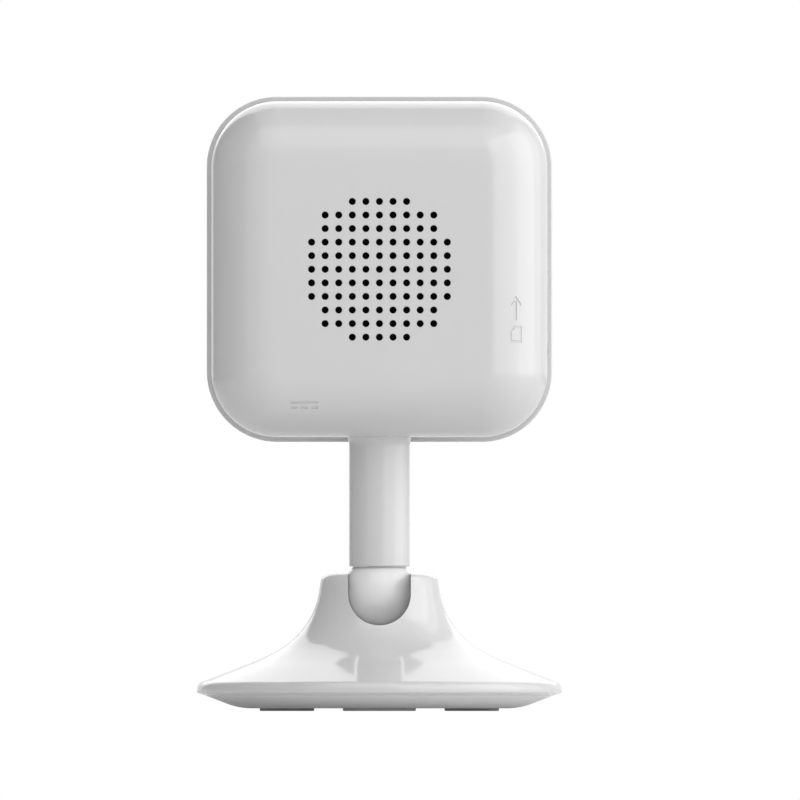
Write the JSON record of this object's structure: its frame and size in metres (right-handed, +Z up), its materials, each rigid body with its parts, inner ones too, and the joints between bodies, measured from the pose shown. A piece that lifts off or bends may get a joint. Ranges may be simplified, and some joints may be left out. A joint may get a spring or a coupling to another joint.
{
  "type": "indoor security camera",
  "caption": "Compact white indoor security camera: square rounded head with a rear speaker grille on a swivelling stem that folds back into a bell-shaped base.",
  "frame": {"origin": "centre of the footprint at the bottom of the rubber pads, under the stem axis", "axes": "+Z up along the stem axis, -Y the way the lens looks, +Y the way the speaker grille faces, +X to the viewer's left when seen from the back"},
  "size_m": [0.0624, 0.0624, 0.105],
  "materials": {
    "base_shell": "white, glossy moulding",
    "underside": "white, fine satin texture",
    "pads": "light grey, soft",
    "knuckle": "white, semi-gloss moulding",
    "stem": "white, glossy moulding",
    "head_shell": "white, glossy moulding",
    "head_bezel": "white, glossy moulding",
    "window": "dark tinted, polished",
    "button": "light grey, satin",
    "lens_glass": "coated, polished",
    "black_plastic": "black, satin",
    "black_rubber": "black, soft foam",
    "inner_grey": "light grey, low-friction plastic",
    "board": "green solder mask",
    "chip": "black, moulded",
    "thermal_pad": "grey-blue, soft",
    "led": "cloudy, cast",
    "speaker_cone": "black, pressed film",
    "copper": "enamelled winding",
    "aluminium": "plain sheet",
    "magnet": "nickel plated",
    "steel": "zinc plated"
  },
  "bodies": {
    "base": {"base_dome": "base_shell", "base_bottom_cover": "underside", "base_pads": "pads", "base_magnet": "magnet", "magnet_keeper": "steel", "base_screws": "steel", "hinge_yoke": "base_shell", "yoke_screws": "steel", "hinge_pin": "steel", "friction_pad": "inner_grey", "friction_spring": "steel"},
    "knuckle": {"tilt_knuckle": "knuckle", "swivel_washer": "steel", "swivel_spring": "steel", "swivel_screw": "steel"},
    "head": {"stem": "stem", "stem_nut": "steel", "rear_cover": "head_shell", "front_bezel": "head_bezel", "front_window": "window", "front_board": "board", "ir_leds": "led", "light_sensor": "led", "status_led": "led", "light_baffle": "black_rubber", "microphone": "steel", "microphone_gasket": "black_rubber", "front_board_screws": "steel", "lens_barrel": "black_plastic", "lens_front_element": "lens_glass", "lens_rear_element": "lens_glass", "lens_holder": "black_plastic", "sensor_frame": "black_plastic", "image_sensor": "chip", "ir_cut_coil": "copper", "main_board": "board", "main_board_screws": "steel", "processor": "chip", "thermal_pad": "thermal_pad", "heat_spreader": "aluminium", "wifi_shield": "steel", "link_header": "black_plastic", "usb_socket": "steel", "card_socket": "steel", "reset_switch": "black_plastic", "speaker_frame": "black_plastic", "speaker_cone": "speaker_cone", "speaker_magnet": "magnet", "speaker_gasket": "black_rubber"},
    "reset": {"reset_button": "button"},
    "ir_cut": {"ir_cut_slider": "black_plastic", "ir_cut_filters": "lens_glass"}
  },
  "joints": [
    {"name": "tilt", "type": "hinge", "parent": "base", "child": "knuckle", "pos_m": [0, 0, 0.02], "axis": [-1, 0, 0], "range_deg": [0, 90]},
    {"name": "swivel", "type": "hinge", "parent": "knuckle", "child": "head", "pos_m": [0, 0, 0.0246], "axis": [0, 0, 1], "range_deg": [-180, 180]},
    {"name": "reset_press", "type": "slide", "parent": "head", "child": "reset", "axis": [0, 0, 1], "range_m": [0, 0.0004], "stiffness_N_per_m": 1500, "springref_m": -0.0002},
    {"name": "ir_cut_shift", "type": "slide", "parent": "head", "child": "ir_cut", "axis": [-1, 0, 0], "range_m": [0, 0.006]}
  ]
}
